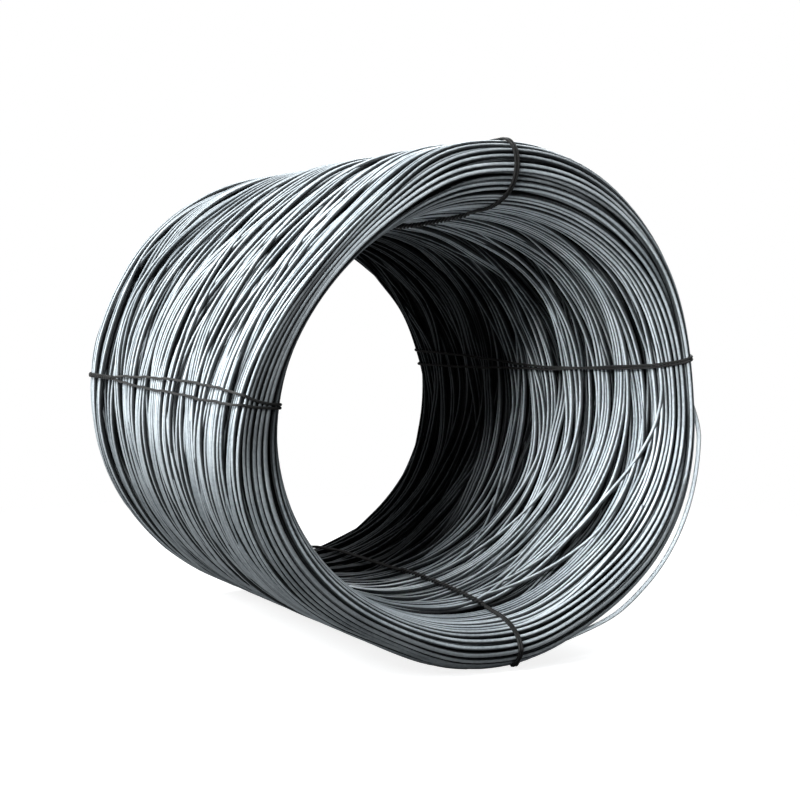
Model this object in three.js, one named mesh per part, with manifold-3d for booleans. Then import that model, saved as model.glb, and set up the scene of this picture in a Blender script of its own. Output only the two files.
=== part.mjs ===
// Coil of wire rod lying on its side, held by four double wire ties.
// Millimetres, +Z up. The coil's axis runs along Y with the front end at -Y, and the floor is Z = 0.
import * as THREE from 'three';
import Module from 'manifold-3d';

// --- driving sizes ---------------------------------------------------------------------------
const coilOD = 1200;          // outside of the turns
const coilLength = 1300;      // end to end
const rodDia = 10.5;          // one turn of the rod
const frontWall = 111.5;      // wall of turns at the front end, about the middle of its bore
const mouthShift = [-8, -5];  // middle of that bore off the coil's middle, along X and Z
const backWall = 144.5;       // wall of turns at the back end, about the middle of its bore
const boreShift = [-29, -38]; // the inner turns have settled: the bore hangs below the middle
const lipFlare = 16;          // the edge of the mouth opens by this much all round
const lipLength = 350;        // the length in which it does so
const mouthWiden = 20;        // the mouth is this much wider to each side, and as much lower
const frontLobes = 35;        // the front end is pushed out of round: height of its three lobes
const lobeAt = 77;            // degrees from +X toward +Z where one of them is
const frontSkew = 15;         // and it is drawn out by this much toward +X+Z and -X-Z
const footRound = 8;          // degrees to each side of straight down where the outside stays round
const footBlend = 40;         // degrees by which it is fully out of round
const frontRound = 120;       // how far the front end's turns roll back at the edges
const backRound = 50;         // the same at the back end
const strands = 12;           // bundles of turns that read along the outside and along the bore
const strandGroove = 18;      // depth of the parting between two bundles, in a wall of middling thickness
const strandGrooveWidth = 24; // width of that parting
const strandSway = 14;        // how far the bundles wander along the coil on their way round
const strandSwayPitch = 90;   // and how fast that changes from one to the next
const facets = 32;            // flats round the coil; one of them is the foot it rests on

const tieWire = 6.5;          // tie wire
const tieGap = 0.7;           // tie to coil, and strand to strand
const knotTwists = 3;         // turns in the knot that closes each tie
const knotTwistLead = 36;     // length of one twist
const knotRamp = 26;          // length in which a strand climbs into its knot
const tieBend = 12;           // stations of a tie round one end
const tieSettle = 450;        // length in which a tie reaches its own line in the bore

const looseFromFront = 88;    // the one turn that has sprung clear of the outside, back from the front end
const looseBulge = 24;        // how far it stands off at its widest
const looseFrom = 6;          // degrees from +X toward +Z: where it leaves the coil
const looseTo = -66;          // where it goes back in

// Angles of each tie about the axis, from +X toward +Z: outside at the back end, outside at the
// front end, round the front end's edge, in the bore and at the bore's back end. The knot lies in
// the bore or outside, at a fraction of the coil's length from the front end.
const ties = [
  { name: 'tie_top', back: 80, outside: 84.5, rim: 86.2, bore: 96.7, deep: 87,
    knot: 'bore', knotAlong: 0.2 },
  { name: 'tie_left', back: 176, outside: 175.4, rim: 175.4, bore: 176.3, deep: 176,
    knot: 'outside', knotAlong: 0.79 },
  { name: 'tie_bottom', back: -79, outside: -79, rim: -85.8, bore: -80.3, deep: -79,
    knot: 'bore', knotAlong: 0.36 },
  { name: 'tie_right', back: 10, outside: 13.4, rim: 13.4, bore: 8.8, deep: 9.5,
    knot: 'bore', knotAlong: 0.35 },
];

// --- derived ---------------------------------------------------------------------------------
const { clamp, lerp, smoothstep, degToRad, radToDeg, euclideanModulo } = THREE.MathUtils;
const Ro = coilOD / 2;
const mouthDia = coilOD - 2 * frontWall;   // bore at the front end
const boreDia = coilOD - 2 * backWall;     // and at the back end
const Ri = mouthDia / 2;
const halfL = coilLength / 2;
const front = -halfL + frontRound;
const back = halfL - backRound;
const facetStep = (2 * Math.PI) / facets;
const partWay = (y) => clamp((y - front) / (back - front), 0, 1);

// Distance from the axis to the outside of the coil at angle a and station y.
function outerRadius(a, y) {
  const fromFoot = Math.abs(euclideanModulo(radToDeg(a) + 270, 360) - 180);
  const push = frontLobes * Math.cos(3 * (a - degToRad(lobeAt))) + frontSkew * Math.sin(2 * a);
  return Ro + smoothstep(fromFoot, footRound, footBlend) * (1 - partWay(y)) * push;
}

// Distance from the axis to the bore: a round hole off the middle, widened at the mouth.
function boreRadius(a, y) {
  const t = partWay(y);
  const x = lerp(mouthShift[0], boreShift[0], t);
  const z = lerp(mouthShift[1], boreShift[1], t);
  const across = x * Math.sin(a) - z * Math.cos(a);
  const round = Math.sqrt((lerp(mouthDia, boreDia, t) / 2) ** 2 - across ** 2);
  const flare = lipFlare * clamp(1 - (Math.max(y, front) - front) / lipLength, 0, 1) ** 2;
  return x * Math.cos(a) + z * Math.sin(a) + round + (1 - t) * mouthWiden * Math.cos(2 * a) + flare;
}

const steel = new THREE.MeshStandardMaterial({ color: 0x8d949b, roughness: 0.42, metalness: 0.9 });
steel.name = 'rod_steel';
const tieSteel = new THREE.MeshStandardMaterial({ color: 0x4a4d50, roughness: 0.55, metalness: 0.85 });
tieSteel.name = 'tie_steel';

const group = new THREE.Group();
group.name = 'wire_rod_coil';

function addMesh(name, geometry, material) {
  const mesh = new THREE.Mesh(geometry, material);
  mesh.name = name;
  group.add(mesh);
  return mesh;
}

// --- the coil: one turned solid ----------------------------------------------------------------
// Half ellipse across the wall at one end; end = +1 for the back end, -1 for the front.
function endCurve(end) {
  const round = end > 0 ? backRound : frontRound;
  return new THREE.EllipseCurve(
    (Ro + Ri) / 2, end * (halfL - round), (Ro - Ri) / 2, round,
    end > 0 ? 0 : Math.PI, end > 0 ? Math.PI : 2 * Math.PI, false,
  );
}

// Each turn on an end is a crest between two partings that dip toward the middle of the wall.
function endTurns(end) {
  const curve = endCurve(end);
  const turns = Math.max(4, Math.round(curve.getLength() / rodDia));
  const points = [];
  for (let k = 0; k < turns; k += 1) {
    if (k > 0) {
      const p = curve.getPointAt(k / turns);
      const t = curve.getTangentAt(k / turns);
      points.push(p.clone().add(new THREE.Vector2(-t.y, t.x).multiplyScalar(rodDia * 0.36)));
    }
    for (const part of [0.24, 0.76]) {
      const onCurve = (k > 0 || part > 0.5) && (k < turns - 1 || part < 0.5);
      if (onCurve) points.push(curve.getPointAt((k + part) / turns));
    }
  }
  return points;
}

// Bundles along a straight side, from y0 to y1 at radius r; into = -1 dips toward the axis.
function sideBundles(r, y0, y1, into) {
  const sign = Math.sign(y1 - y0);
  const pitch = (y1 - y0) / strands;
  const points = [new THREE.Vector2(r, y0)];
  for (let k = 1; k < strands; k += 1) {
    const y = y0 + pitch * k;
    const half = (sign * strandGrooveWidth) / 2;
    points.push(new THREE.Vector2(r, y - half));
    points.push(new THREE.Vector2(r + into * strandGroove, y));
    points.push(new THREE.Vector2(r, y + half));
  }
  points.push(new THREE.Vector2(r, y1));
  return points;
}

// How far the bundles at station y have wandered at angle a; the ends stay where they are.
function sway(a, y) {
  const fade = smoothstep(Math.min(y - front, back - y), 0, 90);
  return strandSway * fade * Math.sin(2 * a + y / strandSwayPitch);
}

// The turned profile, with every point of it then moved to the coil's true section there.
function coilGeometry() {
  const profile = [
    ...sideBundles(Ro, front, back, -1), ...endTurns(1),
    ...sideBundles(Ri, back, front, 1), ...endTurns(-1),
  ];
  profile.push(profile[0].clone());
  const geometry = new THREE.LatheGeometry(profile, facets, facetStep / 2, 2 * Math.PI);
  const position = geometry.attributes.position;
  for (let i = 0; i < position.count; i += 1) {
    const [x, y, z] = [position.getX(i), position.getY(i), position.getZ(i)];
    const a = Math.atan2(z, x);
    const share = (Math.hypot(x, z) - Ri) / (Ro - Ri);
    const along = y + sway(a, y);
    const r = lerp(boreRadius(a, along), outerRadius(a, along), share);
    position.setXYZ(i, r * Math.cos(a), along, r * Math.sin(a));
  }
  return geometry;
}

// --- wires as swept tubes ----------------------------------------------------------------------
// A path through given stations, so that bends get many of them and straights few.
class StationPath extends THREE.Curve {
  constructor(stations) {
    super();
    this.stations = stations;
  }

  getUtoTmapping(u) {
    return u;
  }

  getPoint(t, target = new THREE.Vector3()) {
    const x = THREE.MathUtils.clamp(t, 0, 1) * (this.stations.length - 1);
    const i = Math.min(Math.floor(x), this.stations.length - 2);
    return target.lerpVectors(this.stations[i], this.stations[i + 1], x - i);
  }

  getTangent(t, target = new THREE.Vector3()) {
    const last = this.stations.length - 1;
    const i = Math.round(THREE.MathUtils.clamp(t, 0, 1) * last);
    const [p, q] = [this.stations[Math.max(i - 1, 0)], this.stations[Math.min(i + 1, last)]];
    const before = new THREE.Vector3().subVectors(this.stations[i], p).normalize();
    const after = new THREE.Vector3().subVectors(q, this.stations[i]).normalize();
    return target.addVectors(before, after).normalize();
  }
}

function tube(stations, diameter, sides) {
  const section = new THREE.Shape();
  for (let k = 0; k < sides; k += 1) {
    const a = (2 * Math.PI * k) / sides;
    section[k ? 'lineTo' : 'moveTo']((diameter / 2) * Math.cos(a), (diameter / 2) * Math.sin(a));
  }
  section.closePath();
  return new THREE.ExtrudeGeometry(section, {
    steps: stations.length - 1, extrudePath: new StationPath(stations), curveSegments: 1,
  });
}

// --- ties --------------------------------------------------------------------------------------
// Distance from the axis to the flat between two of the coil's edges at angle a and station y.
function flatRadius(radius, a, y) {
  const k = Math.floor(a / facetStep - 0.5);
  const [a0, a1] = [(k + 0.5) * facetStep, (k + 1.5) * facetStep];
  const [r0, r1] = [radius(a0, y), radius(a1, y)];
  return (r0 * r1 * Math.sin(a1 - a0)) / (r0 * Math.sin(a - a0) + r1 * Math.sin(a1 - a));
}

// The closed line that a tie follows round the wall, off the coil by lift: points, the direction
// away from the coil at each, the length of line up to each, and stations round the two ends.
function wallLine({ back: atBack, outside, rim, bore, deep }, lift) {
  const spread = Array.from({ length: 13 }, (_, k) => (((k - 6) / 6) * tieWire * 1.5) / Ri);
  const outer = (a, y) => Math.max(...spread.map((d) => flatRadius(outerRadius, a + d, y)));
  const inner = (a, y) => Math.min(...spread.map((d) => flatRadius(boreRadius, a + d, y)));
  const rimEnd = rim + 0.4 * (bore - rim);
  const settled = tieSettle / (back - front);
  const inBore = (f) => (
    f < settled ? lerp(rimEnd, bore, f / settled) : lerp(bore, deep, (f - settled) / (1 - settled)));
  const pieces = [
    // along the outside to the front, round the front edge, back through the bore, round the back
    { steps: 60, at: (f) => ({ a: lerp(atBack, outside, f), y: lerp(back, front, f), share: 1, beyond: 0 }) },
    { steps: 60, at: (f) => ({
      a: f < 0.34 ? lerp(outside, rim, smoothstep(f, 0.11, 0.34)) : lerp(rim, rimEnd, (f - 0.34) / 0.66),
      y: front, share: 0.5 + 0.5 * Math.cos(Math.PI * f), beyond: -frontRound * Math.sin(Math.PI * f) }) },
    { steps: 90, at: (f) => ({ a: inBore(f), y: lerp(front, back, f), share: 0, beyond: 0 }) },
    { steps: 40, at: (f) => ({
      a: lerp(deep, atBack, f),
      y: back, share: 0.5 - 0.5 * Math.cos(Math.PI * f), beyond: backRound * Math.sin(Math.PI * f) }) },
  ];
  const flat = [];
  const ends = [0];
  for (const { steps, at } of pieces) {
    for (let i = 0; i < steps; i += 1) {
      const { a: degrees, y, share, beyond } = at(i / steps);
      const a = degToRad(degrees);
      flat.push({ a, r: lerp(inner(a, y), outer(a, y), share), y: y + beyond });
    }
    ends.push(flat.length);
  }
  const near = (list, i) => list[(i + list.length) % list.length];
  const away = flat.map(({ a }, i) => {
    const [p, q] = [near(flat, i - 1), near(flat, i + 1)];
    const n = new THREE.Vector2(p.y - q.y, q.r - p.r).normalize();
    return new THREE.Vector3(n.x * Math.cos(a), n.y, n.x * Math.sin(a));
  });
  const points = flat.map(({ a, r, y }, i) => (
    new THREE.Vector3(r * Math.cos(a), y, r * Math.sin(a)).addScaledVector(away[i], lift)));
  const upTo = [0];
  points.forEach((p, i) => upTo.push(upTo[i] + p.distanceTo(near(points, i + 1))));

  // round an end, stations at which every chord stands off the curve by the same small rise
  const bends = [];
  for (const k of [1, 3]) {
    const share = [0];
    for (let i = ends[k]; i < ends[k + 1]; i += 1) {
      const before = points[i].clone().sub(near(points, i - 1));
      const after = near(points, i + 1).clone().sub(points[i]);
      share.push(share.at(-1) + Math.sqrt(after.length() * before.angleTo(after)));
    }
    const rise = (share.at(-1) / tieBend) ** 2 / 8;
    for (let j = 0; j <= tieBend; j += 1) {
      const want = (share.at(-1) * j) / tieBend;
      const i = Math.max(1, share.findIndex((v) => v >= want - 1e-9));
      const f = (want - share[i - 1]) / (share[i] - share[i - 1]);
      bends.push({ s: lerp(upTo[ends[k] + i - 1], upTo[ends[k] + i], f), rise });
    }
  }
  return { points, away, upTo, bends, starts: ends.map((e) => upTo[e]) };
}

function tieGeometry({ knot, knotAlong, ...angles }) {
  const lift = tieWire / 2 + tieGap;
  const { points, away, upTo, bends, starts } = wallLine(angles, lift);
  const around = upTo[points.length];
  const knotShare = (coilLength * knotAlong - halfL - front) / (back - front);
  const knotAt = knot === 'outside' ? starts[1] * (1 - knotShare) : lerp(starts[2], starts[3], knotShare);

  const twist = (tieWire / 2 + tieGap / 2) / Math.cos(Math.PI / 8);   // knot wire off the knot's axis
  const over = tieWire + tieGap + twist;                              // the knot rides over the strand below
  const half = (knotTwists * knotTwistLead) / 2;

  const place = (s, up, across) => {
    const d = euclideanModulo(s, around);
    let i = upTo.findIndex((u) => u > d) - 1;
    if (i < 0) i = points.length - 1;
    const j = (i + 1) % points.length;
    const f = (d - upTo[i]) / (upTo[i + 1] - upTo[i]);
    const normal = new THREE.Vector3().lerpVectors(away[i], away[j], f).normalize();
    const side = new THREE.Vector3().subVectors(points[j], points[i]).cross(normal).normalize();
    return new THREE.Vector3().lerpVectors(points[i], points[j], f)
      .addScaledVector(normal, up).addScaledVector(side, across);
  };

  // stations of one plain turn round the wall, from the knot on: round the ends, in the flared
  // mouth and, few, on the straights
  for (let i = 1; i < 6; i += 1) bends.push({ s: (starts[1] * i) / 6, rise: 0 });
  for (const d of [70, 140, 210, 290, 370, 470, 650, 850]) bends.push({ s: starts[2] + d, rise: 0 });
  const clear = half + knotRamp;
  const turn = bends
    .map(({ s, rise }) => ({ s: euclideanModulo(s - knotAt, around), rise }))
    .filter(({ s }) => s > clear + 4 && s < around - clear - 4)
    .sort((p, q) => p.s - q.s);

  const stations = [];
  const spin = (s, phase) => {
    const a = phase + (2 * Math.PI * (s + half)) / knotTwistLead;
    return place(knotAt + s, over + twist * Math.sin(a), twist * Math.cos(a));
  };
  const ticks = knotTwists * 7;
  const knotSteps = Array.from({ length: ticks + 1 }, (_, i) => -half + (2 * half * i) / ticks);

  // first the tail that runs through the knot, then down to the coil and round it once
  knotSteps.forEach((s) => stations.push(spin(s, Math.PI)));
  stations.push(place(knotAt + half + knotRamp, 0, -twist));
  turn.forEach(({ s, rise }) => stations.push(place(knotAt + s, rise, -twist)));
  // under the knot, changing sides
  stations.push(place(knotAt - clear, 0, -twist), place(knotAt - half * 0.6, 0, -twist));
  stations.push(place(knotAt + half * 0.6, 0, twist), place(knotAt + clear, 0, twist));
  // round again, and up into the knot from the other side
  turn.forEach(({ s, rise }) => stations.push(place(knotAt + s, rise, twist)));
  stations.push(place(knotAt - clear, 0, twist));
  knotSteps.forEach((s) => stations.push(spin(s, 0)));
  return tube(stations, tieWire, 6);
}

// --- the turn that has sprung loose, fused to the coil where it goes in ---------------------------
function looseTurnGeometry() {
  const steps = 22;
  const stations = [];
  for (let i = 0; i <= steps; i += 1) {
    const f = i / steps;
    const a = degToRad(lerp(looseFrom, looseTo, f));
    const y = looseFromFront - halfL + 10 * Math.sin(2 * Math.PI * f);
    const r = outerRadius(a, y) + lerp(-rodDia * 1.4, looseBulge - rodDia / 2, Math.sin(Math.PI * f) ** 0.8);
    stations.push(new THREE.Vector3(r * Math.cos(a), y, r * Math.sin(a)));
  }
  return tube(stations, rodDia, 8);
}

function mergedForJoining(geometry) {
  const map = new Map();
  const vertices = [];
  const triangles = [];
  const position = geometry.attributes.position;
  const index = geometry.index;
  const count = index ? index.count : position.count;
  const vertex = (i) => {
    const p = [position.getX(i), position.getY(i), position.getZ(i)].map((c) => Math.round(c * 1e4) / 1e4);
    const key = p.join();
    if (!map.has(key)) {
      map.set(key, vertices.length / 3);
      vertices.push(...p);
    }
    return map.get(key);
  };
  for (let k = 0; k < count; k += 3) {
    const t = [0, 1, 2].map((j) => vertex(index ? index.getX(k + j) : k + j));
    if (t[0] !== t[1] && t[1] !== t[2] && t[2] !== t[0]) triangles.push(...t);
  }
  return { numProp: 3, vertProperties: new Float32Array(vertices), triVerts: new Uint32Array(triangles) };
}

const wasm = await Module();
wasm.setup();
function joined(geometries) {
  const solids = geometries.map((g) => new wasm.Manifold(new wasm.Mesh(mergedForJoining(g))));
  const mesh = wasm.Manifold.union(solids).getMesh();
  const geometry = new THREE.BufferGeometry();
  geometry.setAttribute('position', new THREE.BufferAttribute(new Float32Array(mesh.vertProperties), 3));
  geometry.setIndex(new THREE.BufferAttribute(new Uint32Array(mesh.triVerts), 1));
  return geometry;
}

addMesh('wire_coil', joined([coilGeometry(), looseTurnGeometry()]), steel);
for (const tie of ties) addMesh(tie.name, tieGeometry(tie), tieSteel);

// stand it on Z = 0 with the middle of its box over the origin
const box = new THREE.Box3().setFromObject(group);
const middle = box.getCenter(new THREE.Vector3());
for (const mesh of group.children) mesh.geometry.translate(-middle.x, -middle.y, -box.min.z);

export default group;
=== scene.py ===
import bpy
import math
import numpy as np
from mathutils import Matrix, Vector


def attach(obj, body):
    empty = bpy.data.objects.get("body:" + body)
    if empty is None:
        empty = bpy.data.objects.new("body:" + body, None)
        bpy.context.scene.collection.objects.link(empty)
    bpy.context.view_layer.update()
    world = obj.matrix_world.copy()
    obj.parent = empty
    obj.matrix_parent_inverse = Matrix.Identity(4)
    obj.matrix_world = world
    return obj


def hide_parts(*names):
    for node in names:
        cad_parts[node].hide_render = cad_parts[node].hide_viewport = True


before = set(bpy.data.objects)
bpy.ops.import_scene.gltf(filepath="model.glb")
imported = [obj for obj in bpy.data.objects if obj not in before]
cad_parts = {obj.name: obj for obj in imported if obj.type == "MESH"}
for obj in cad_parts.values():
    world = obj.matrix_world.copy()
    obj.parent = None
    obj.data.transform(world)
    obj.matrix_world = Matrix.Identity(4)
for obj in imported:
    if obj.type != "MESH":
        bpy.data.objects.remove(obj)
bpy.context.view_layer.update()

# ---------------------------------------------------------------- sizes, in metres, as in the CAD model
RO = 0.600                                    # outside of the turns
FACETS = 32                                   # the solid's flats, one of which is its foot
LENGTH = 1.300
FRONT_ROUND, BACK_ROUND = 0.120, 0.050        # how far the turns roll back at each end
MOUTH, MOUTH_X, MOUTH_Z = 0.4885, -0.008, -0.005    # the hole's radius and shift at the front end
BORE, BORE_X, BORE_Z = 0.4555, -0.029, -0.038       # and at the back end
LIP, LIP_LENGTH = 0.016, 0.350                # the mouth's edge flares
WIDEN = 0.020                                 # and the mouth is wider than it is high
LOBES, LOBE_AT, SKEW = 0.035, math.radians(77), 0.015    # the front end is out of round
LOBES_FROM, LOBES_OVER = 8, 32                # but not near the foot, in degrees from it
ROD = 0.0105
TIE = 0.0065

# ---------------------------------------------------------------- what the CAD model leaves to this scene
PROUD = 0.002                                 # the turns lie this far outside the solid's skin
FRONT_HALF, BACK_HALF = 0.050, 0.065          # half the wall at each end, for distances round the ends
DRAWN_IN = 0.028                              # under the loose turn the others lie this much tighter
DRAWN_FROM, DRAWN_FROM_OVER = -84, 38         # from these degrees on, coming in over so many
DRAWN_TO, DRAWN_TO_OVER = 44, 44              # up to these, going out over so many
DRAWN_MOUTH = 0.85                            # share of it that the mouth follows
RIDE, RIDE_AT, RIDE_WIDTH = 0.016, 102, 13    # at these degrees turns ride up over each other at the front
ON_FLOOR = 1e-4                               # the foot's vertices lie lower than this
AIR = 0.0002                                  # between the floor and the lowest turns
TIE_AIR = 0.0003                              # and the lowest tie

corners = np.array([v.co[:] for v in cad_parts["wire_coil"].data.vertices])
foot = corners[corners[:, 2] < ON_FLOOR]
AXIS_X = (foot[:, 0].min() + foot[:, 0].max()) / 2
AXIS_Z = RO * math.cos(math.pi / FACETS)
FRONT, BACK = -LENGTH / 2 + FRONT_ROUND, LENGTH / 2 - BACK_ROUND
ENDS = ((BACK_ROUND, BACK, 1), (FRONT_ROUND, FRONT, -1))    # how far each rolls back, from where, and its way
STATIONS = 144                                # round one turn
AROUND = 2 * np.pi * np.arange(STATIONS) / STATIONS
rng = np.random.default_rng(7)


def smoothstep(x):
    x = np.clip(x, 0, 1)
    return x * x * (3 - 2 * x)


# ---------------------------------------------------------------- the wall's section
def half_ellipse(a, b):
    """Angles over half an ellipse, the share of its arc up to each of them, and the arc's length."""
    angle = np.linspace(0, np.pi, 181)
    arc = np.cumsum(np.hypot(np.diff(a * np.cos(angle)), np.diff(b * np.sin(angle))))
    arc = np.concatenate([[0], arc])
    return angle, arc / arc[-1], arc[-1]


class Section:
    """The wall at the angles th round its axis.

    A point of it is (rho, v), rho measured from the axis and v along it. A distance s runs round it: along
    the outside from front to back, round the back end, back along the bore and round the front rim."""

    OFF_MIDDLE = 0.2                          # turns stay this share of half the wall off its middle

    def __init__(self, th, proud=PROUD):
        th = np.asarray(th, float)[:, None]
        self.cos, self.sin, self.cos2 = np.cos(th), np.sin(th), np.cos(2 * th)
        self.proud = proud
        from_foot = np.abs((np.degrees(th) + 270) % 360 - 180)
        from_right = (np.degrees(th) + 180) % 360 - 180
        from_ride = np.degrees(th) % 360 - RIDE_AT
        lobes = LOBES * np.cos(3 * (th - LOBE_AT)) + SKEW * np.sin(2 * th)
        ride = RIDE * np.exp(-(from_ride / RIDE_WIDTH) ** 2)
        self.drawn = (DRAWN_IN * smoothstep((from_right - DRAWN_FROM) / DRAWN_FROM_OVER)
                      * smoothstep((DRAWN_TO - from_right) / DRAWN_TO_OVER))
        self.push = smoothstep((from_foot - LOBES_FROM) / LOBES_OVER) * lobes - self.drawn + ride
        self.side = BACK - FRONT
        self.back_angle, self.back_share, self.back = half_ellipse(BACK_HALF, BACK_ROUND)
        self.rim_angle, self.rim_share, self.rim = half_ellipse(FRONT_HALF, FRONT_ROUND)
        self.back_mid = self.side + self.back / 2
        self.bore_start = self.side + self.back
        self.rim_start = 2 * self.side + self.back
        self.total = self.rim_start + self.rim
        self.rim_mid = self.total - self.rim / 2

    def radii(self, v):
        """The outer and the inner radius at v."""
        t = np.clip((v - FRONT) / self.side, 0, 1)
        x, z = MOUTH_X + t * (BORE_X - MOUTH_X), MOUTH_Z + t * (BORE_Z - MOUTH_Z)
        hole = np.sqrt((MOUTH + t * (BORE - MOUTH)) ** 2 - (x * self.sin - z * self.cos) ** 2)
        flare = LIP * np.clip(1 - (np.maximum(v, FRONT) - FRONT) / LIP_LENGTH, 0, 1) ** 2
        inner = x * self.cos + z * self.sin + hole + (1 - t) * WIDEN * self.cos2 + flare
        inner = inner - DRAWN_MOUTH * (1 - t) ** 3 * self.drawn
        return RO + self.proud + (1 - t) * self.push, inner

    def middle(self, v):
        """The radius of the wall's middle at v, and half the wall's thickness."""
        outer, inner = self.radii(v)
        return (outer + inner) / 2, (outer - inner) / 2

    def point(self, s, under):
        """The point at distance s and this far under the skin."""
        s = np.mod(s, self.total)
        v = np.where(s < self.side, FRONT + s, np.clip(BACK - (s - self.side - self.back), FRONT, BACK))
        mid, half = self.middle(v)
        half = half - under
        u = np.where(s < self.side, half, -half)
        at_back = (s >= self.side) & (s < self.bore_start)
        angle = np.interp((s - self.side) / self.back, self.back_share, self.back_angle)
        u = np.where(at_back, half * np.cos(angle), u)
        v = np.where(at_back, BACK + (BACK_ROUND - under) * np.sin(angle), v)
        at_rim = s >= self.rim_start
        angle = np.interp((s - 2 * self.side - self.back) / self.rim, self.rim_share, self.rim_angle)
        u = np.where(at_rim, -half * np.cos(angle), u)
        v = np.where(at_rim, FRONT - (FRONT_ROUND - under) * np.sin(angle), v)
        return np.stack([mid + u, v], -1)

    def along(self, p):
        """The distance s of points p."""
        v = p[..., 1]
        mid, half = self.middle(v)
        u = p[..., 0] - mid
        s = np.where(u > 0, v - FRONT, self.bore_start + BACK - v)
        angle = np.arctan2((v - BACK) / BACK_ROUND, u / half)
        at_back = self.side + self.back * np.interp(angle, self.back_angle, self.back_share)
        s = np.where(v > BACK, at_back, s)
        angle = np.arctan2((FRONT - v) / FRONT_ROUND, -u / half)
        at_rim = self.rim_start + self.rim * np.interp(angle, self.rim_angle, self.rim_share)
        return np.where(v < FRONT, at_rim, s)

    def past_rim(self, s):
        """How far s lies past the middle of the front rim. It is below 0 on the side of the bore."""
        return np.mod(s - self.rim_mid + self.total / 2, self.total) - self.total / 2

    def depth(self, p):
        """How far points p lie under the skin, and the way out of it as (rho, v)."""
        v = p[..., 1]
        mid, half = self.middle(v)
        u = p[..., 0] - mid
        under, way = half - np.abs(u), np.stack([np.sign(u), 0 * u], -1)
        for reach, start, sign in ENDS:
            past = (v - start) * sign
            k = np.sqrt((u / half) ** 2 + (past / reach) ** 2) + 1e-9
            under = np.where(past > 0, (1 - k) / k * np.hypot(u, past), under)
            out = np.stack([u / half ** 2, sign * past / reach ** 2], -1)
            out = out / np.linalg.norm(out, axis=-1, keepdims=True)
            way = np.where((past > 0)[..., None], out, way)
        return under, way

    def confine(self, p, least, most):
        """Points p brought to between the depths least and most."""
        v = p[..., 1]
        mid, half = self.middle(v)
        u = p[..., 0] - mid
        core = np.maximum(half - most, self.OFF_MIDDLE * half)
        for reach, start, sign in ENDS:
            past = (v - start) * sign
            k = np.sqrt((u / (half - least)) ** 2 + (past / (reach - least)) ** 2)
            scale = np.where((past > 0) & (k > 1), 1 / np.maximum(k, 1e-9), 1)
            k = np.sqrt((u / core) ** 2 + (past / (reach - most)) ** 2)
            scale = np.where((past > 0) & (k < 1), 1 / np.maximum(k, self.OFF_MIDDLE), scale)
            u = np.where(past > 0, u * scale, u)
            v = np.where(past > 0, start + sign * past * scale, v)
        straight = (v >= FRONT) & (v <= BACK)
        u = np.where(straight, np.sign(u) * np.clip(np.abs(u), core, half - least), u)
        return np.stack([mid + u, v], -1)


WALL = Section(AROUND)

# ---------------------------------------------------------------- packing the turns
PARTS = 12                                    # wider partings between bundles, as in the CAD model
PART, PART_GAP, PART_CLEAR = (BACK - FRONT) / PARTS, 0.009, 0.6 * ROD
SWAY, SWAY_PITCH, SWAY_FADE = 0.014, 0.090, 0.090    # and how they wander on their way round
PITCH = ROD * 1.22                            # between turns that lie side by side
BUNDLE, BUNDLE_SHARE = (1, 2, 3, 4), (0.46, 0.30, 0.16, 0.08)    # turns in a bundle, and how often
GAP_SPREAD = (0.2, 1.8)                       # gaps between bundles, as shares of their layer's usual gap
FILLS = ((0.86, 0.84, 0.84), (0.94, 0.92, 0.95), (0.95, 0.95, 0.90))    # by layer: outside, bore, front rim
PARTED = (1, 0.5, 0)                          # and by layer, how far it takes part in the partings
RIM_SINGLE = 0.46                             # of the rim, either way from its middle: here turns lie singly
RIM_PACKED, PACKED_OVER = 0.40, 0.06          # and here with the rim's own fill, before it becomes the side's
INNERMOST, RIM_KEPT_FREE = 2, 1.02            # this layer doesn't reach round the front rim
LAST_BUNDLE, LAST_TURN = 0.020, 0.004         # no bundle or turn starts nearer to a layer's end
NEAT, NEAT_LEFT, NEAT_OVER = 0.34, 0.14, 0.24 # so far into the bore turns lie neat, and further on its left
STIFF = 0.10                                  # share of its drift that a neat turn keeps
DRIFT_WAVES, DRIFT, DRIFT_FALL = 6, 0.023, 0.65    # how bundles wander over each other
SINGLE_WAVES, SINGLE_DRIFT = 4, 0.0030        # and turns in their bundle
DIP_WAVES, DIP, DIP_FALL = 6, 0.45, 0.35      # how bundles rise and dip, in rods
MESSY = 0.70 + 0.30 * np.cos(AROUND - math.radians(130))    # turns wander most at the upper left
MESSY_BORE = 0.75
LAYER_STEP, HIGHEST_RISE = 0.92, 0.8          # in rods
TOP, LOWEST_START, LOWEST = 0.5 * ROD, 2.7 * ROD, 2.9 * ROD    # depths of the turns' middles
RANKS = 0.9                                   # the ranks in a layer spread by less than its step to the next
SINK = 0.18                                   # where bundles cross one slips under the other
PRESS, NEIGHBOURS, ROUNDS = 0.35, 7, 90       # share of an overlap by which a turn moves away in a round
BEND, LAST_BEND = 8.0, 16.0                   # a rod hardly bends in more waves than this round a turn
HELD_BACK = 0.25                              # a bend of just so many waves shrinks to 1 / (1 + this)


def waves(n, orders, size, fall=1.0):
    """n random smooth closed curves round the coil."""
    w = np.zeros((STATIONS, n))
    for m in range(1, orders + 1):
        a, b = rng.normal(0, size / m ** fall, (2, n))
        w += np.cos(m * AROUND)[:, None] * a + np.sin(m * AROUND)[:, None] * b
    return w


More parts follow.
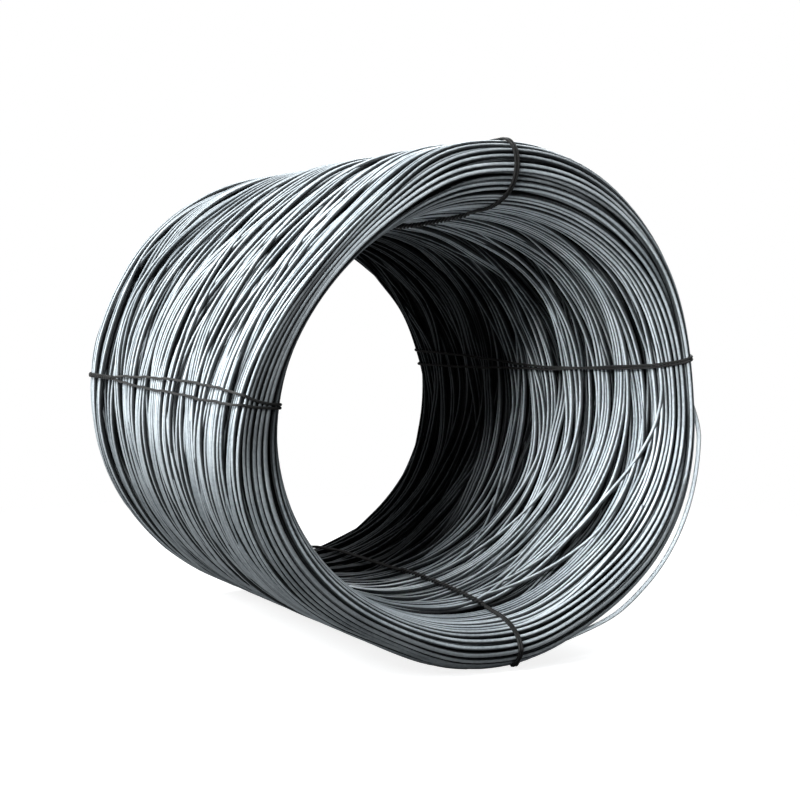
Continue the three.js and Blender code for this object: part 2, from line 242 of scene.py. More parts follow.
def bundle_starts(layer):
    """Where a layer's turns start, the bundle that each is in, and how many bundles there are."""
    outside_fill, bore_fill, rim_fill = FILLS[layer]
    gap = PART_GAP * PARTED[layer] / 2
    partings = PART * np.arange(1, PARTS)
    partings = np.concatenate([partings, WALL.bore_start + partings])
    end = WALL.total - (WALL.rim * RIM_KEPT_FREE if layer == INNERMOST else 0)
    start, bundles = 0.0, []
    while start < end - LAST_BUNDLE:
        count = int(rng.choice(BUNDLE, p=BUNDLE_SHARE))
        if abs(WALL.past_rim(start)) < WALL.rim * RIM_SINGLE:
            count = 1
        line = start + PITCH * np.arange(count)
        parting = partings[np.abs(partings - line.mean()).argmin()]
        if gap and line[0] - ROD / 2 < parting + gap and line[-1] + ROD / 2 > parting - gap:
            line = parting + gap + PART_CLEAR + PITCH * np.arange(count)
        to_rim = min(abs(line.mean() - WALL.rim_mid), abs(line.mean() - WALL.rim_mid + WALL.total))
        side_fill = outside_fill if line.mean() < WALL.back_mid else bore_fill
        packed = smoothstep((to_rim - WALL.rim * RIM_PACKED) / PACKED_OVER)
        fill = rim_fill + (side_fill - rim_fill) * packed
        bundles.append(line)
        start = line[-1] + PITCH + count * PITCH * (1 / fill - 1) * rng.uniform(*GAP_SPREAD)
    ids = np.repeat(np.arange(len(bundles)), [len(b) for b in bundles])
    base = np.concatenate(bundles)
    kept = base < end - LAST_TURN
    return base[kept], ids[kept], len(bundles)


def lay_layer(layer):
    """A layer's turns before they are pressed apart: distances and depths [station, turn], and ranks."""
    base, ids, bundles = bundle_starts(layer)
    past = WALL.past_rim(base)
    neat = np.where(past > 0, 0.0, WALL.rim * (NEAT - NEAT_LEFT * np.cos(AROUND))[:, None])
    free = STIFF + (1 - STIFF) * smoothstep((np.abs(past) - neat) / NEAT_OVER)
    outside = base < WALL.back_mid
    v = WALL.point(np.broadcast_to(base, (STATIONS, len(base))), TOP)[..., 1]
    fade = smoothstep(np.minimum(v - FRONT, BACK - v) / SWAY_FADE)
    sway = SWAY * fade * np.sin(2 * AROUND[:, None] + v / SWAY_PITCH) * np.where(outside, 1, -1)
    messy = np.where(outside, MESSY[:, None], MESSY_BORE)
    drift = waves(bundles, DRIFT_WAVES, DRIFT, DRIFT_FALL)[:, ids]
    drift = drift + waves(len(ids), SINGLE_WAVES, SINGLE_DRIFT)
    s = base[None] + sway + drift * free * messy
    dip = waves(bundles, DIP_WAVES, DIP, DIP_FALL)[:, ids] * ROD * free
    under = (0.5 + LAYER_STEP * layer) * ROD + np.maximum(dip, -HIGHEST_RISE * ROD)
    return s, np.clip(under, TOP, LOWEST_START), layer + rng.uniform(0, RANKS, bundles)[ids]


def press_apart(target, rank):
    """Turns nearer than a rod's thickness move apart, the one of higher rank slipping under the other."""
    def bent(p, most):
        """p with its bends held back, the more so the more waves they make round a turn."""
        stiff = 1 / (1 + HELD_BACK * (np.arange(STATIONS // 2 + 1) / most) ** 4)
        moved = np.fft.rfft(p - target, axis=0) * stiff[:, None, None]
        return target + np.fft.irfft(moved, n=STATIONS, axis=0)

    p = target.copy()
    for it in range(ROUNDS):
        order = np.argsort(WALL.along(p), 1)
        q = np.take_along_axis(p, order[..., None], 1)
        mine, (_, out) = rank[order], WALL.depth(q)
        move = np.zeros_like(q)
        for k in range(1, NEIGHBOURS + 1):
            apart = np.roll(q, -k, 1) - q
            distance = np.sqrt((apart ** 2).sum(-1)) + 1e-9
            near = np.maximum(0, ROD - distance)
            push = apart * (PRESS * near / distance)[..., None]
            other = np.roll(mine, -k, 1)
            move -= push * (other <= mine)[..., None] + out * (SINK * near * (other < mine))[..., None]
            move += np.roll(push * (mine <= other)[..., None], k, 1)
            move -= out * np.roll(SINK * near * (mine < other), k, 1)[..., None]
        np.put_along_axis(p, np.broadcast_to(order[..., None], p.shape), q + move, 1)
        if it % 2 == 0 and it < ROUNDS - 2:
            p = bent(p, BEND)
        p = WALL.confine(p, TOP, LOWEST)
    return WALL.confine(bent(p, LAST_BEND), TOP, LOWEST)


def pack_turns():
    """Small bundles of side-by-side turns in layers: turns[station, turn] of (rho, v), and their layers."""
    s, under, rank = (np.concatenate(x, -1) for x in zip(*[lay_layer(k) for k in range(len(FILLS))]))
    return press_apart(WALL.point(s, under), rank), rank.astype(int)


# ---------------------------------------------------------------- meshes from arrays
def mesh_object(name, verts, faces, material, smooth=True, **values):
    """An object from arrays. Its faces have the same number of corners each, and its vertices the values."""
    me = bpy.data.meshes.new(name)
    me.vertices.add(len(verts))
    me.vertices.foreach_set("co", np.asarray(verts, np.float32).ravel())
    faces = np.asarray(faces, np.int32)
    k = faces.shape[1]
    me.loops.add(faces.size)
    me.loops.foreach_set("vertex_index", faces.ravel())
    me.polygons.add(len(faces))
    me.polygons.foreach_set("loop_start", np.arange(0, faces.size, k, dtype=np.int32))
    me.polygons.foreach_set("loop_total", np.full(len(faces), k, np.int32))
    if smooth:
        me.polygons.foreach_set("use_smooth", np.ones(len(faces), bool))
    for key, value in values.items():
        flat = np.asarray(value, np.float32)
        at = me.attributes.new(key, "FLOAT" if flat.ndim == 1 else "FLOAT_VECTOR", "POINT")
        at.data.foreach_set("value" if flat.ndim == 1 else "vector", flat.ravel())
    me.update(calc_edges=True)
    me.materials.append(material)
    ob = bpy.data.objects.new(name, me)
    bpy.context.collection.objects.link(ob)
    return ob


def grid_faces(idx):
    """Faces over a grid of vertex numbers that closes on itself along its first and its last axis."""
    ahead = np.roll(idx, -1, 0)
    return np.stack([idx, np.roll(idx, -1, -1), np.roll(ahead, -1, -1), ahead], -1)


def circles(c, tan, up, radius, sides):
    """Vertices round each of the points c, square to the path's tangents. The first is the nearest to up."""
    out = up - tan * (up * tan).sum(-1, keepdims=True)
    out /= np.linalg.norm(out, axis=-1, keepdims=True)
    out, side = out[..., None, :], np.cross(tan, out)[..., None, :]
    a = 2 * np.pi * np.arange(sides)[:, None] / sides
    return c[..., None, :] + radius * (np.cos(a) * out + np.sin(a) * side)


FLATTER = 0.2                                 # a tube's first side faces outwards, less so along the axis


def tube(c, radius, sides, closed):
    """A tube round the points c, closed on itself or with flat ends: vertices and faces."""
    c = np.stack([c[:, 0], c[:, 1], np.maximum(c[:, 2], radius + AIR)], -1)
    tan = np.roll(c, -1, 0) - np.roll(c, 1, 0) if closed else np.gradient(c, axis=0)
    tan /= np.linalg.norm(tan, axis=1, keepdims=True)
    up = c - (AXIS_X, 0, AXIS_Z)
    up[:, 1] -= FLATTER * c[:, 1]
    verts = circles(c, tan, up, radius, sides).reshape(-1, 3)
    idx = np.arange(len(verts)).reshape(len(c), sides)
    if closed:
        return verts, grid_faces(idx).reshape(-1, 4)
    fan = np.array([(0, k, k + 1, k + 2) for k in range(1, sides - 2, 2)])
    return verts, np.concatenate([grid_faces(idx)[:-1].reshape(-1, 4), idx[0][fan[:, ::-1]], idx[-1][fan]])


def joined(tubes):
    """The vertices and faces of several tubes as one."""
    first = np.cumsum([0] + [len(v) for v, _ in tubes])
    return np.concatenate([v for v, _ in tubes]), np.concatenate([f + k for k, (_, f) in zip(first, tubes)])


def to_world(rho, v, th):
    return np.stack([AXIS_X + rho * np.cos(th), v + 0 * rho, AXIS_Z + rho * np.sin(th)], -1)


def turned(way, th):
    """A way (rho, v) at the angle th as (x, y, z)."""
    return np.stack([way[..., 0] * np.cos(th), way[..., 1], way[..., 0] * np.sin(th)], -1)


def on_wall(s, th, under):
    """World points at the angles th and distances s round the section, under the skin."""
    p = Section(th).point(np.asarray(s)[:, None], np.asarray(under)[:, None])[:, 0]
    return to_world(p[:, 0], p[:, 1], th)


# ---------------------------------------------------------------- painted shade, and the turns' painted bright crests
SHADE, SHADE_FROM, SHADE_OVER = 0.80, 0.75, 1.6          # painted shade between the turns, by depth in rods
BORE_SHADE, BORE_SOONER = 0.14, 0.08                     # and so much more and sooner in the bore
DEEP, DEEP_FROM, DEEP_OVER = 0.84, -0.15, 0.40           # painted shade towards the far end of the bore
LOW, LOW_FROM, LOW_OVER = 0.62, 0.10, 0.38               # painted shade low on the outside, by height over the axis
EVENED, EVEN_TONE, EVEN_CREST = 0.72, 0.75, 0.90         # there the painted shade is evened out and the painted crests widened


def painted_rim_shade(v, th):
    """How much painted shade darkens the front rim: most on its left, and least at its foot."""
    top, left = np.maximum(np.sin(th), 0) ** 2, np.maximum(-np.cos(th), 0)
    start = FRONT - 0.045 + 0.018 * left + 0.075 * top
    length = 0.040 + 0.060 * top
    amount = 0.54 - 0.34 * np.cos(th) - 0.12 * top
    spared = 0.75 * smoothstep(-np.sin(th) / 0.40)
    return smoothstep((start - v) / length) * amount * (1 - spared)


def painted_shade(p, th, under):
    """The painted shade on the steel at points p of depth under, 1 where there is none, and how far a turn's
    painted bright crest reaches.
    """
    mid, _ = Section(np.ravel(th)).middle(p[..., 1])
    bore = p[..., 0] < mid
    deep = smoothstep((p[..., 1] - DEEP_FROM) / DEEP_OVER) * bore
    low = smoothstep((LOW_FROM - p[..., 0] * np.sin(th)) / LOW_OVER) * ~bore
    between = smoothstep((under / ROD - SHADE_FROM + BORE_SOONER * bore) / SHADE_OVER)
    lit = 1 - (SHADE + BORE_SHADE * bore) * between
    lit = lit + (EVEN_TONE - lit) * EVENED * low
    lit = lit * (1 - DEEP * deep) * (1 - LOW * low) * (1 - painted_rim_shade(p[..., 1], th))
    return lit, 1 + EVEN_CREST * low


def painted_shade_at(v, share):
    """The painted shade that steel is shaded with, with the way for its painted crests, at loose points v,
    this share of their depth counting.
    """
    x, y, z = (v - (AXIS_X, 0, AXIS_Z)).T
    th = np.arctan2(z, x)[:, None]
    p = np.stack([np.hypot(x, z), y], -1)[:, None]
    under, way = Section(th[:, 0]).depth(p)
    return {"lit": painted_shade(p, th, under * share)[0][:, 0], "way": turned(way, th)[:, 0]}


# ---------------------------------------------------------------- materials
def add_node(tree, kind, inputs=None, **settings):
    """A new shader node. inputs gives its sockets a value each, or the socket that feeds them."""
    node = tree.nodes.new("ShaderNode" + kind)
    for key, value in settings.items():
        setattr(node, key, value)
    for key, value in (inputs or {}).items():
        if isinstance(value, bpy.types.NodeSocket):
            tree.links.new(value, node.inputs[key])
        else:
            node.inputs[key].default_value = value
    return node


def steel(name, dark, light, rough, metal, scale=1.0, crests=True, shine=0.15):
    """Steel with a colour between dark and light, in patches and by the mesh's own tone.

    The mesh also carries its painted shade, as how lit it is, and, with crests, which way out of the coil is,
    for a painted bright crest on each turn."""
    m = bpy.data.materials.new(name)
    m.use_nodes = True
    nt = m.node_tree
    nt.nodes.clear()
    place = add_node(nt, "TexCoord").outputs["Object"]
    patches = add_node(nt, "TexNoise", {"Vector": place, "Scale": 9 * scale, "Detail": 4}).outputs["Fac"]
    grain = add_node(nt, "TexNoise", {"Vector": place, "Scale": 120 * scale, "Detail": 3}).outputs["Fac"]
    tone = add_node(nt, "Attribute", attribute_name="tone").outputs["Fac"]
    mottled = add_node(nt, "Math", {0: grain, 1: 0.70, 2: patches}, operation="MULTIPLY_ADD").outputs[0]
    toned = add_node(nt, "Math", {0: tone, 1: 0.75, 2: mottled}, operation="MULTIPLY_ADD").outputs[0]
    between = add_node(nt, "MapRange", {"Value": toned, "From Min": 0.70, "From Max": 1.60}).outputs["Result"]
    colour = add_node(nt, "Mix", {"Factor": between, "A": (*dark, 1), "B": (*light, 1)}, data_type="RGBA")
    # painted shade between the turns, and a painted highlight: dark away from each turn's bright crest
    lit = add_node(nt, "Attribute", attribute_name="lit").outputs["Fac"]
    if crests:
        way = add_node(nt, "Attribute", attribute_name="way").outputs["Vector"]
        normal = add_node(nt, "NewGeometry").outputs["Normal"]
        facing = add_node(nt, "VectorMath", {0: normal, 1: way}, operation="DOT_PRODUCT").outputs["Value"]
        # painted highlight: bright where the surface faces out of the coil, painted shade on the flanks
        crest = add_node(nt, "MapRange", {"Value": facing, "From Min": 0.48, "From Max": 1.0, "To Min": 0.10},
                         interpolation_type="SMOOTHSTEP").outputs["Result"]
        lit = add_node(nt, "Math", {0: lit, 1: crest}, operation="MULTIPLY").outputs[0]
    # painted shade: the colour is multiplied by lit
    dim = add_node(nt, "Mix", {"Factor": 1.0, "A": colour.outputs["Result"], "B": lit},
                   data_type="RGBA", blend_type="MULTIPLY")
    # the crests are worn smooth, and the steel is rough where the painted shade lies
    worn = add_node(nt, "MapRange", {"Value": grain, "To Min": rough[0], "To Max": rough[1]})
    dull = add_node(nt, "Mix", {"Factor": lit, "A": 0.95, "B": worn.outputs["Result"]})
    bsdf = add_node(nt, "BsdfPrincipled", {
        "Base Color": dim.outputs["Result"], "Roughness": dull.outputs["Result"],
        "Specular IOR Level": shine, "Metallic": metal})
    add_node(nt, "OutputMaterial", {0: bsdf.outputs[0]})
    return m


ROD_STEEL = steel("rod_steel", dark=(0.27, 0.31, 0.335), light=(0.84, 0.91, 0.95), rough=(0.28, 0.44),
                  metal=0.15)
TIE_STEEL = steel("tie_steel", dark=(0.012, 0.0118, 0.0115), light=(0.042, 0.042, 0.041), rough=(0.40, 0.6),
                  metal=0.2, scale=3, crests=False, shine=0.2)
# painted shade: near-black, for the shadow deep between the turns
SHADE_CORE = steel("core_painted_shade", dark=(0.002, 0.0022, 0.0025), light=(0.006, 0.0065, 0.007), rough=(0.7, 0.9),
             metal=0.0, scale=1, crests=False, shine=0.02)

# ---------------------------------------------------------------- the turns
MESHES = ((8, 1, 3), (6, 1, 2), (4, 2, 1))    # by layer: sides of the rod, stations to a step, pieces
TONE, TONE_SPREAD = 0.5, 0.22                 # from one turn to another
turns, layers = pack_turns()
tones = rng.normal(TONE, TONE_SPREAD, turns.shape[1]).clip(0, 1)
places = WALL.along(turns)[0]


def ring_tubes(p, sides, radius):
    """Closed rings p[station, ring] as tubes: vertices and faces, and the vertices' ring, lit and way."""
    stations, rings = p.shape[:2]
    th = (2 * np.pi * np.arange(stations) / stations)[:, None]
    c = to_world(p[..., 0], p[..., 1], th)
    c[..., 2] = np.maximum(c[..., 2], radius + AIR)
    tan = np.roll(c, -1, 0) - np.roll(c, 1, 0)
    tan /= np.linalg.norm(tan, axis=-1, keepdims=True)
    up = np.stack([np.cos(th) + 0 * p[..., 0], 0 * p[..., 0], np.sin(th) + 0 * p[..., 0]], -1)
    verts = circles(c, tan, up, radius, sides)
    idx = np.arange(stations * rings * sides).reshape(stations, rings, sides)
    ring = np.broadcast_to(np.arange(rings)[None, :, None], idx.shape)
    under, way = Section(th[:, 0]).depth(p)
    # painted shade and the reach of the painted bright crests, by depth and place
    lit, crest = painted_shade(p, th, under)
    way = np.broadcast_to((turned(way, th) * crest[..., None])[:, :, None], verts.shape)
    lit = np.broadcast_to(lit[:, :, None], idx.shape)
    return verts.reshape(-1, 3), grid_faces(idx).reshape(-1, 4), ring.ravel(), lit.ravel(), way.reshape(-1, 3)


def turns_piece(name, pick, sides, step):
    """The picked turns as one piece."""
    v, f, ring, lit, way = ring_tubes(turns[::step][:, pick], sides, ROD / 2)
    ob = mesh_object(name, v, f, ROD_STEEL, tone=tones[pick][ring], lit=lit, way=way)
    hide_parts("wire_coil")
    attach(ob, "root")


# layer by layer, the hidden ones plainer, each cut along the section so that no piece grows too large
for layer, (sides, step, pieces) in enumerate(MESHES):
    in_layer = np.flatnonzero(layers == layer)
    in_layer = in_layer[np.argsort(places[in_layer])]
    for k, pick in enumerate(np.array_split(in_layer, pieces)):
        turns_piece("turns_%d_%d" % (layer, k), pick, sides, step)

# ---------------------------------------------------------------- the plain core inside the wall, near-black as painted shade between the turns
CORE_DEPTH, CORE_SHARE = 2.6 * ROD, 0.36     # under the skin, but at most this share of the wall
CORE_SIDES = 160

s = np.broadcast_to(np.linspace(0, WALL.total, CORE_SIDES + 1)[:-1], (STATIONS, CORE_SIDES))
outer, inner = WALL.radii(np.clip(WALL.point(s, 0.0)[..., 1], FRONT, BACK))
p = WALL.point(s, np.minimum(CORE_DEPTH, CORE_SHARE * (outer - inner)))
v = to_world(p[..., 0], p[..., 1], AROUND[:, None]).reshape(-1, 3)
f = grid_faces(np.arange(len(v)).reshape(s.shape)).reshape(-1, 4)
core = mesh_object("core", v, f, SHADE_CORE, tone=np.full(len(v), TONE), lit=np.ones(len(v)))
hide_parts("wire_coil")
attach(core, "root")

# ---------------------------------------------------------------- the ties
TIE_STATIONS, TIE_SIDES = 640, 6
TIE_RADIUS = 0.55                             # a tie's usual distance from the axis, for ways across it
TWIST_PITCH, TWIST_EASE = 0.034, 0.02         # where the strands are twisted together
CLEAR, CLEAR_FROM, CLEAR_OVER = 0.0022, 0.06, 0.10    # ties clear the turns, but not at the rim
PULLED, PULLED_FROM, PULLED_OVER = 0.008, 0.14, 0.10  # and are pulled in at the back end
BLUR = 13                                     # stations over which the spread's corners are rounded
APART = 0.005                                 # strands further from their middle than this are uneven:
UNEVEN, UNEVEN_RATE = 0.0008, 37
FINE_UNEVEN, FINE_RATE = 0.0005, 83
PAIR = 0.0034                                 # half the distance between strands that lie side by side
PAST_BACK = 1.36                              # a little more than u reaches, at the middle of the back end
SIDE_BY_SIDE = ((-PAST_BACK, PAIR), (PAST_BACK, PAIR))


def twisted_tie(node, angles, spread=SIDE_BY_SIDE, twist=None):
    """Two strands round the wall. u runs from the front rim: < 0 outside, > 0 in the bore.

    angles lists (u, degrees) and spread (u, half the distance between the strands), which are twisted
    together from u to u in twist."""
    half = WALL.rim / 2 + WALL.back_mid
    u = np.linspace(-half, half, TIE_STATIONS, endpoint=False)
    th = np.radians(np.interp(u, *zip(*angles)))
    apart = np.interp(u, *zip(*spread))
    apart = np.convolve(np.pad(apart, BLUR // 2, mode="wrap"), np.ones(BLUR) / BLUR, "valid")
    turn, lift = np.zeros(len(u)), np.zeros(len(u))
    if twist:
        start, end = twist
        inside = (u > start) & (u < end)
        count = max(1, round((end - start) / TWIST_PITCH))
        turn = np.where(inside, 2 * np.pi * count * (u - start) / (end - start), turn)
        ease = smoothstep((u - start) / TWIST_EASE) * smoothstep((end - u) / TWIST_EASE)
        lift = np.where(inside, ease, lift)
    r = TIE / 2
    wave = UNEVEN * np.sin(u * UNEVEN_RATE + len(node)) + FINE_UNEVEN * np.sin(u * FINE_RATE)
    wave = wave * (np.abs(apart) > APART)
    clear = CLEAR * smoothstep((np.abs(u) - CLEAR_FROM) / CLEAR_OVER)
    clear = clear - PULLED * smoothstep((np.abs(u) - half + PULLED_FROM) / PULLED_OVER)
    strands = []
    for sign in (1, -1):
        across = sign * np.where(lift > 0, r * np.cos(turn), apart) + wave
        under = -r - clear - r * lift * (1 + sign * np.sin(turn))
        c = on_wall(np.mod(WALL.rim_mid - u, WALL.total), th + across / TIE_RADIUS, under)
        c[:, 2] = np.maximum(c[:, 2], r + TIE_AIR)
        strands.append(tube(c, r, TIE_SIDES, True))
    v, f = joined(strands)
    # painted shade on the ties: the turns' shade deep in the bore, low outside and at the rim, made stronger
    lit = painted_shade_at(v, 0.0)["lit"] ** 2
    ob = mesh_object(node + "_wire", v, f, TIE_STEEL, tone=np.full(len(v), TONE), lit=lit)
    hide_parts(node)
    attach(ob, "root")


twisted_tie("tie_top",
            angles=[(-PAST_BACK, 80), (-0.14, 84.5), (-0.05, 86.2), (0.14, 90.5), (0.59, 96.7),
                    (PAST_BACK, 87)],
            twist=(0.17, 0.50))
twisted_tie("tie_left",
            angles=[(-PAST_BACK, 176), (-0.90, 175.3), (-0.50, 174.6), (-0.14, 174.8), (0, 175.4),
                    (0.59, 176.3), (PAST_BACK, 176)],
            spread=[(-PAST_BACK, PAIR), (-1.02, PAIR), (-0.96, 0.007), (-0.73, 0.013), (-0.34, 0.0155),
                    (-0.14, 0.012), (-0.07, 0.008), (-0.01, 0.0040), (0.10, PAIR), (PAST_BACK, PAIR)],
            twist=(-1.27, -1.02))
twisted_tie("tie_bottom",
            angles=[(-PAST_BACK, -84.5), (-1.15, -79), (-0.14, -79), (-0.05, -85.8), (0.14, -83.6),
                    (0.59, -80.3), (1.10, -80.3), (PAST_BACK, -84.5)],
            twist=(0.20, 0.72))
twisted_tie("tie_right",
            angles=[(-PAST_BACK, 10), (-0.14, 13.4), (0.0, 13.4), (0.14, 11.6), (0.59, 8.8),
                    (PAST_BACK, 9.5)],
            spread=[(-PAST_BACK, -0.028), (-1.24, -0.006), (-1.14, PAIR), (0.30, PAIR), (0.42, 0.0),
                    (0.54, -PAIR), (0.70, -0.006), (1.00, -0.022), (1.27, -0.028), (PAST_BACK, -0.028)])

# ---------------------------------------------------------------- turns that lie over the others
STRAY_SIDES = 8
LOOSE_STATIONS, LOOSE_FROM, LOOSE_TO = 95, 14, -80    # the loose turn's, in degrees
LOOSE_LEAVES, LOOSE_LEAVING = 7, 15           # it leaves the others there, over so many degrees
LOOSE_RETURNS, LOOSE_RETURNING = -76, 22
LOOSE_CLEAR, LOOSE_BURIED = 0.017, 0.8 * ROD  # clear of them between, and buried at its ends
LOOSE_NOSE = 0.85                             # radians round the front end from the outside
LOOSE_WAY = (-1.6, -1.2, 1.0)                 # painted highlight: standing clear, it has a wide painted bright crest towards the light
LOOSE_TONE = 1.0                              # the cut end's too

CUT_STATIONS, CUT_FROM, CUT_TO = 40, -29, -88     # the cut end's, in degrees
CUT_AT, CUT_SLANT = 0.052, 0.02               # past the start of the front rim
CUT_HIGH, CUT_DIP, CUT_STAYS = -0.40, 1.3, 0.2    # its depth and dip in rods, and how long it stays high

STRAY_HIGH, STRAY_DIP = 0.05, 0.8             # a stray's depth where it crosses, and how it dips, in rods
STRAY_OVER, STRAY_FROM = 0.9, 0.55            # it dips over so many widths of its crossing, but not at first
STRAY_STAYS, STRAY_MOVES = 40, 300            # degrees for which it stays across, and for both its moves
STRAY_WAVE = 0.006                            # and how it wanders
STRAY_TONE, STRAY_SHADE_SHARE = 0.65, 0.7            # its tone, and the share of its depth that counts towards painted shade

# the strays: where round the section, from what degrees, over how many, and how far they cross
BORE_STRAYS = (
    (WALL.rim_start + 0.03, 8, 50, -0.16), (WALL.rim_start - 0.10, -20, 60, -0.10),
    (WALL.rim_start - 0.22, -50, 45, 0.09), (WALL.rim_start - 0.05, -35, 55, -0.12),
    (WALL.rim_start - 0.35, -10, 60, -0.10))
OUTSIDE_STRAYS = (
    (0.10, 160, 50, 0.10), (0.25, 135, 45, -0.08), (0.45, 175, 60, 0.09), (0.60, 120, 45, 0.08),
    (0.30, 215, 60, 0.07), (0.75, 150, 55, -0.09), (0.15, 145, 35, 0.05), (0.35, 128, 40, -0.06),
    (0.52, 150, 40, 0.05), (0.20, 170, 40, -0.05), (0.08, 150, 30, 0.035), (0.17, 135, 28, -0.030),
    (0.28, 160, 35, 0.040), (0.38, 142, 30, -0.035), (0.47, 128, 35, 0.040), (0.56, 165, 35, -0.040),
    (0.66, 138, 30, 0.035), (0.78, 155, 40, -0.045), (0.12, 120, 30, 0.030), (0.33, 115, 35, -0.035),
    (0.61, 122, 30, -0.030), (0.43, 172, 35, 0.035))


def loose_turn():
    """The turn that has sprung loose from the front end's right, down to the foot."""
    deg = np.linspace(LOOSE_FROM, LOOSE_TO, LOOSE_STATIONS)
    th = np.radians(deg)
    mid, half = (x[:, 0] for x in Section(th, proud=0.0).middle(np.full((len(th), 1), FRONT)))
    leave = smoothstep((LOOSE_LEAVES - deg) / LOOSE_LEAVING)
    back = smoothstep((deg - LOOSE_RETURNS) / LOOSE_RETURNING)
    clear = -LOOSE_BURIED + (LOOSE_CLEAR + LOOSE_BURIED) * leave * back
    rho = mid + (half + clear) * math.cos(LOOSE_NOSE)
    v = FRONT - (FRONT_ROUND + clear) * math.sin(LOOSE_NOSE)
    return tube(to_world(rho, v, th), ROD / 2, STRAY_SIDES, False)


def cut_end():
    """A cut end low on the front's right, from where it lies on the others to where it is under them."""
    th = np.radians(np.linspace(CUT_FROM, CUT_TO, CUT_STATIONS))
    s = WALL.rim_start + CUT_AT + CUT_SLANT * np.linspace(0, 1, CUT_STATIONS)
    under = ROD * (CUT_HIGH + CUT_DIP * smoothstep(np.linspace(-CUT_STAYS, 1, CUT_STATIONS)))
    return tube(on_wall(s, th, under), ROD / 2, STRAY_SIDES, False)


def stray(s, start, width, shift):
    """A turn at s that crosses the others by shift over width degrees from start on, and later comes back."""
    way = np.mod(start - np.degrees(AROUND), 360)
    crossed = smoothstep(way / width) - smoothstep((way - width - STRAY_STAYS) / (STRAY_MOVES - width))
    from_crossing = np.abs(np.mod(way - width / 2 + 180, 360) - 180)
    under = ROD * (STRAY_HIGH + STRAY_DIP * smoothstep(from_crossing / (width * STRAY_OVER) - STRAY_FROM))
    s = s + shift * crossed + STRAY_WAVE * np.sin(AROUND * 3 + start)
    return tube(on_wall(s, AROUND, under), ROD / 2, STRAY_SIDES, True)


over = [loose_turn(), cut_end()] + [stray(*place) for place in BORE_STRAYS + OUTSIDE_STRAYS]
v, f = joined(over)
# painted shade and painted crests on the strays
shade = painted_shade_at(v, STRAY_SHADE_SHARE)
tone = np.full(len(v), STRAY_TONE)
free, cut = len(over[0][0]), len(over[1][0])
# the loose turn gets no painted shade, and a wide painted highlight
shade["way"][:free], shade["lit"][:free] = LOOSE_WAY, 1.0
tone[:free + cut] = LOOSE_TONE
ob = mesh_object("stray_turns", v, f, ROD_STEEL, tone=tone, **shade)
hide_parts("wire_coil")
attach(ob, "root")

# ---------------------------------------------------------------- floor and background
FLOOR = 40.0                                  # half its side
FLOOR_GREY, FLOOR_GLOW = (0.50, 0.52), 0.86   # its colour near the coil, and how it glows for the camera
WHITE_FROM, WHITE_TO = 1.2, 2.6               # distances from the coil between which the floor turns white


def floor_material():
    """Pale floor that keeps the shadow near the coil and runs out to white further off."""
    m = bpy.data.materials.new("floor")
    m.use_nodes = True
    nt = m.node_tree
    ray = add_node(nt, "LightPath").outputs
    grain = add_node(nt, "TexNoise", {"Scale": 3}).outputs["Fac"]
    pale = add_node(nt, "MapRange", {"Value": grain, "To Min": FLOOR_GREY[0], "To Max": FLOOR_GREY[1]})
    glow = add_node(nt, "Math", {0: ray["Is Camera Ray"], 1: FLOOR_GLOW}, operation="MULTIPLY").outputs[0]
    near = nt.nodes["Principled BSDF"]
    nt.links.new(pale.outputs["Result"], near.inputs["Base Color"])
    nt.links.new(glow, near.inputs["Emission Strength"])
    near.inputs["Emission Color"].default_value = (1, 1, 1, 1)
    near.inputs["Roughness"].default_value = 0.95
    near.inputs["Specular IOR Level"].default_value = 0.0
    place = add_node(nt, "TexCoord").outputs["Object"]
    distance = add_node(nt, "VectorMath", {0: place}, operation="LENGTH").outputs["Value"]
    fade = add_node(nt, "MapRange", {"Value": distance, "From Min": WHITE_FROM, "From Max": WHITE_TO},
                    interpolation_type="SMOOTHSTEP").outputs["Result"]
    seen = add_node(nt, "Math", {0: ray["Is Camera Ray"], 1: ray["Is Glossy Ray"]}, operation="MAXIMUM")
    share = add_node(nt, "Math", {0: seen.outputs[0], 1: fade}, operation="MULTIPLY").outputs[0]
    white = add_node(nt, "Emission").outputs[0]
    mix = add_node(nt, "MixShader", {0: share, 1: near.outputs[0], 2: white})
    nt.links.new(mix.outputs[0], nt.nodes["Material Output"].inputs[0])
    return m


floor = mesh_object("floor", [(-FLOOR, -FLOOR, 0), (FLOOR, -FLOOR, 0), (FLOOR, FLOOR, 0), (-FLOOR, FLOOR, 0)],
                    [(0, 1, 2, 3)], floor_material(), smooth=False)

# white where it is seen, and a faint sky where it lights
world = bpy.data.worlds.new("studio")
bpy.context.scene.world = world
world.use_nodes = True
wn = world.node_tree
ray = add_node(wn, "LightPath").outputs
seen = add_node(wn, "Math", {0: ray["Is Camera Ray"], 1: ray["Is Glossy Ray"]}, operation="MAXIMUM")
seen = add_node(wn, "Math", {0: seen.outputs[0], 1: ray["Is Transmission Ray"]}, operation="MAXIMUM")
sky = wn.nodes["Background"].outputs[0]
wn.nodes["Background"].inputs["Color"].default_value = (0.86, 0.93, 1.0, 1)
wn.nodes["Background"].inputs["Strength"].default_value = 0.045
white = add_node(wn, "Background", {"Color": (1, 1, 1, 1), "Strength": 1.0}).outputs[0]
mix = add_node(wn, "MixShader", {0: seen.outputs[0], 1: sky, 2: white})
wn.links.new(mix.outputs[0], wn.nodes["World Output"].inputs[0])

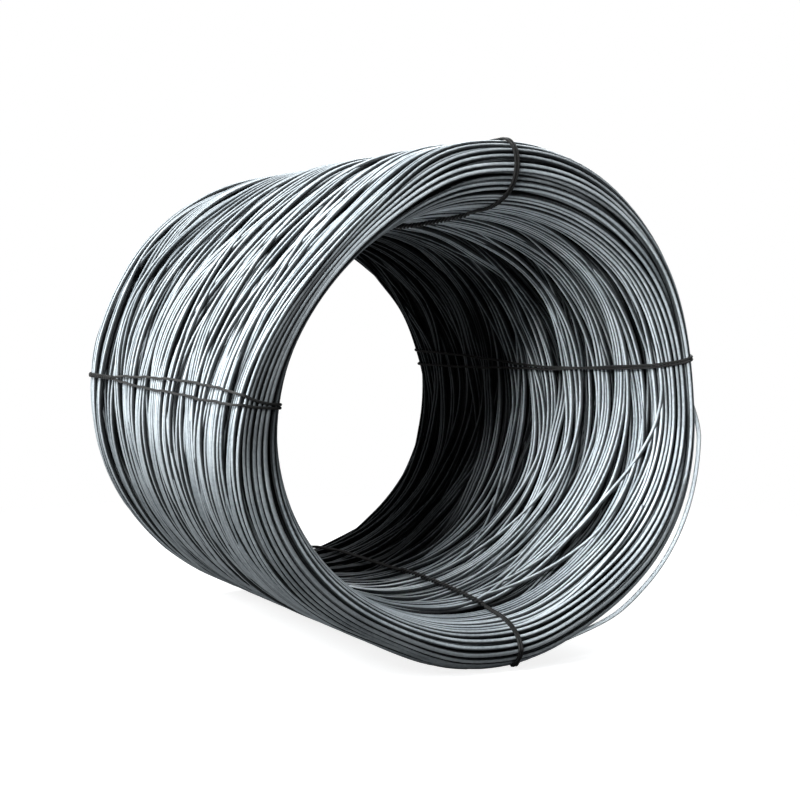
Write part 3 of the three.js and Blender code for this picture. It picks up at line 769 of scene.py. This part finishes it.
# ---------------------------------------------------------------- light
CENTRE = Vector((AXIS_X, 0, AXIS_Z))
IN_BORE = Vector((AXIS_X + 0.37, -0.24, AXIS_Z - 0.14))
COOL = (0.95, 0.98, 1.0)


def way_to(azimuth, elevation):
    """The way from the coil to what stands so many degrees to the right of its front, and so high."""
    a, e = math.radians(azimuth), math.radians(elevation)
    return Vector((math.sin(a) * math.cos(e), -math.cos(a) * math.cos(e), math.sin(e)))


def lamp(name, kind, azimuth, elevation, distance, power, at=CENTRE, **settings):
    """A lamp that points at a place."""
    light = bpy.data.lights.new(name, kind)
    light.energy, light.color = power, COOL
    for key, value in settings.items():
        setattr(light, key, value)
    way = way_to(azimuth, elevation)
    ob = bpy.data.objects.new(name, light)
    ob.location = at + way * distance
    ob.rotation_euler = way.to_track_quat("Z", "Y").to_euler()
    bpy.context.collection.objects.link(ob)


lamp("key", "AREA", -68, 37, 4.3, power=325, shape="SQUARE", size=2.6)
lamp("bore", "SPOT", -47, 23, 4.2, power=1080, at=IN_BORE,
     spot_size=math.radians(12.5), spot_blend=0.6, shadow_soft_size=0.35)
lamp("front", "AREA", -15, 30, 5.5, power=5, shape="SQUARE", size=2.0)
lamp("behind", "AREA", 140, 32, 4.6, power=190, shape="SQUARE", size=2.6)

# ---------------------------------------------------------------- camera
# fitted to the photo's outline, see-through bore and ties
AZ, EL, DIST = -25.76, 4.395, 4.696           # degrees, and metres from the coil's middle
FOCAL, CX, CY = 1797.9, 380.9, 397.9          # pixels of the photo
PHOTO, SENSOR = 800, 36                       # its side in pixels, and the sensor's in mm

back = way_to(AZ, EL)
cam_data = bpy.data.cameras.new("camera")
cam_data.lens = FOCAL * SENSOR / PHOTO
cam_data.shift_x, cam_data.shift_y = (PHOTO / 2 - CX) / PHOTO, (CY - PHOTO / 2) / PHOTO
cam_data.clip_start, cam_data.clip_end = 0.05, 200
cam = bpy.data.objects.new("camera", cam_data)
cam.location = CENTRE + back * DIST
cam.rotation_euler = (-back).to_track_quat("-Z", "Y").to_euler()
bpy.context.collection.objects.link(cam)
bpy.context.scene.camera = cam
bpy.context.scene.view_settings.view_transform = "Standard"
